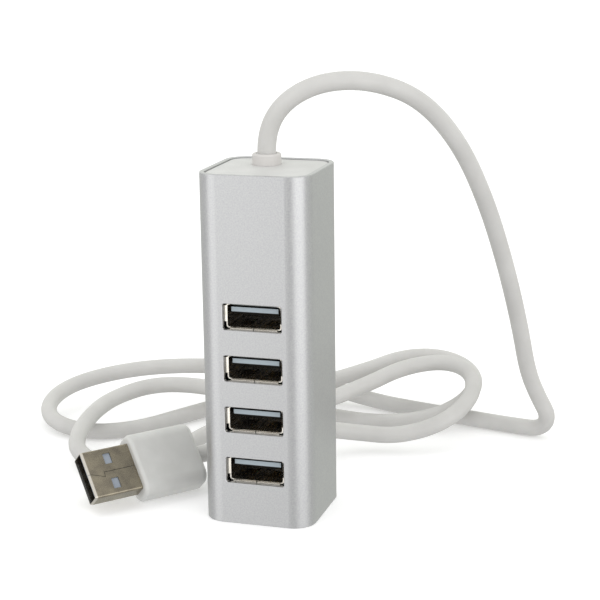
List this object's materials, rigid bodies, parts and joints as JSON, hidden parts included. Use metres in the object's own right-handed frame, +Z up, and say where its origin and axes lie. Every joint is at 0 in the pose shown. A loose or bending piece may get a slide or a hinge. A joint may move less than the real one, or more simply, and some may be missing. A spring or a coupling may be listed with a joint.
{
  "type": "usb hub",
  "caption": "Upright square-column USB hub in aluminium, with a stack of type-A sockets on its front and a captive cable that ends in a type-A plug.",
  "frame": {"origin": "middle of the base, on the surface that the hub stands on", "axes": "+Z up along the column, -Y out of the sockets, +X to the right of a person facing them"},
  "size_m": [0.1398, 0.1102, 0.1025],
  "materials": {
    "tube_aluminium": "fine bead-blasted, silver anodised",
    "cap_plastic": "fine satin",
    "cable_jacket": "satin",
    "shell_steel": "nickel plated",
    "socket_plastic": "satin",
    "contact_brass": "gold plated",
    "board_laminate": "solder mask",
    "chip_epoxy": "moulded epoxy",
    "tinned_metal": "tin plated",
    "capacitor_sleeve": "shrunk sleeve",
    "capacitor_ceramic": "fired ceramic",
    "resistor_ceramic": "glazed ceramic",
    "film_plastic": "clear amber film",
    "wire_red": "satin",
    "wire_white": "satin",
    "wire_green": "satin",
    "wire_black": "satin",
    "plug_plastic": "satin",
    "plug_insert": "satin"
  },
  "bodies": {
    "root": {"black_wire": "wire_black", "bottom_cap": "cap_plastic", "bulk_capacitor": "capacitor_sleeve", "cable": "cable_jacket", "cable_inner_end": "cable_jacket", "chip_capacitors": "capacitor_ceramic", "chip_leads": "tinned_metal", "chip_resistors": "resistor_ceramic", "component_leads": "tinned_metal", "crystal": "tinned_metal", "green_wire": "wire_green", "housing_tube": "tube_aluminium", "hub_controller_chip": "chip_epoxy", "insulating_film": "film_plastic", "main_board": "board_laminate", "plug_contacts": "contact_brass", "plug_inner_mould": "plug_insert", "plug_insulator": "plug_insert", "plug_overmould": "plug_plastic", "plug_shell": "shell_steel", "port_1_contacts": "contact_brass", "port_1_insulator": "socket_plastic", "port_1_shell": "shell_steel", "port_2_contacts": "contact_brass", "port_2_insulator": "socket_plastic", "port_2_shell": "shell_steel", "port_3_contacts": "contact_brass", "port_3_insulator": "socket_plastic", "port_3_shell": "shell_steel", "port_4_contacts": "contact_brass", "port_4_insulator": "socket_plastic", "port_4_shell": "shell_steel", "red_wire": "wire_red", "solder_joints": "tinned_metal", "strain_relief": "cable_jacket", "top_cap": "cap_plastic", "white_wire": "wire_white"}
  },
  "joints": []
}
